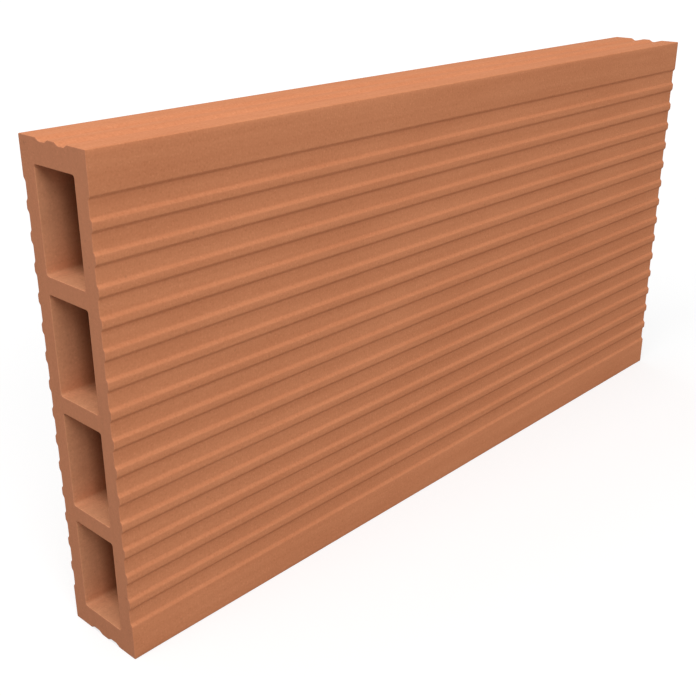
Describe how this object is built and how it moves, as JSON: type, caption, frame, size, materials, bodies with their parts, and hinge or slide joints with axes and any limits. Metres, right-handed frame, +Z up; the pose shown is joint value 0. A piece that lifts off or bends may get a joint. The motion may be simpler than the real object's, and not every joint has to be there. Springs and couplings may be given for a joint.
{
  "type": "hollow clay brick",
  "caption": "Large thin hollow clay partition brick with a single column of open cells right through its length and keying grooves along both faces and both beds.",
  "frame": {"origin": "middle of the lower bed, at the level of its plain strips, which the brick stands on", "axes": "+X along the cells, +Y through the thickness from the front face to the back face, +Z up from the lower bed to the upper bed"},
  "size_m": [0.4, 0.04, 0.2],
  "materials": {
    "fired_clay": "matte"
  },
  "bodies": {
    "root": {"brick": "fired_clay"}
  },
  "joints": []
}
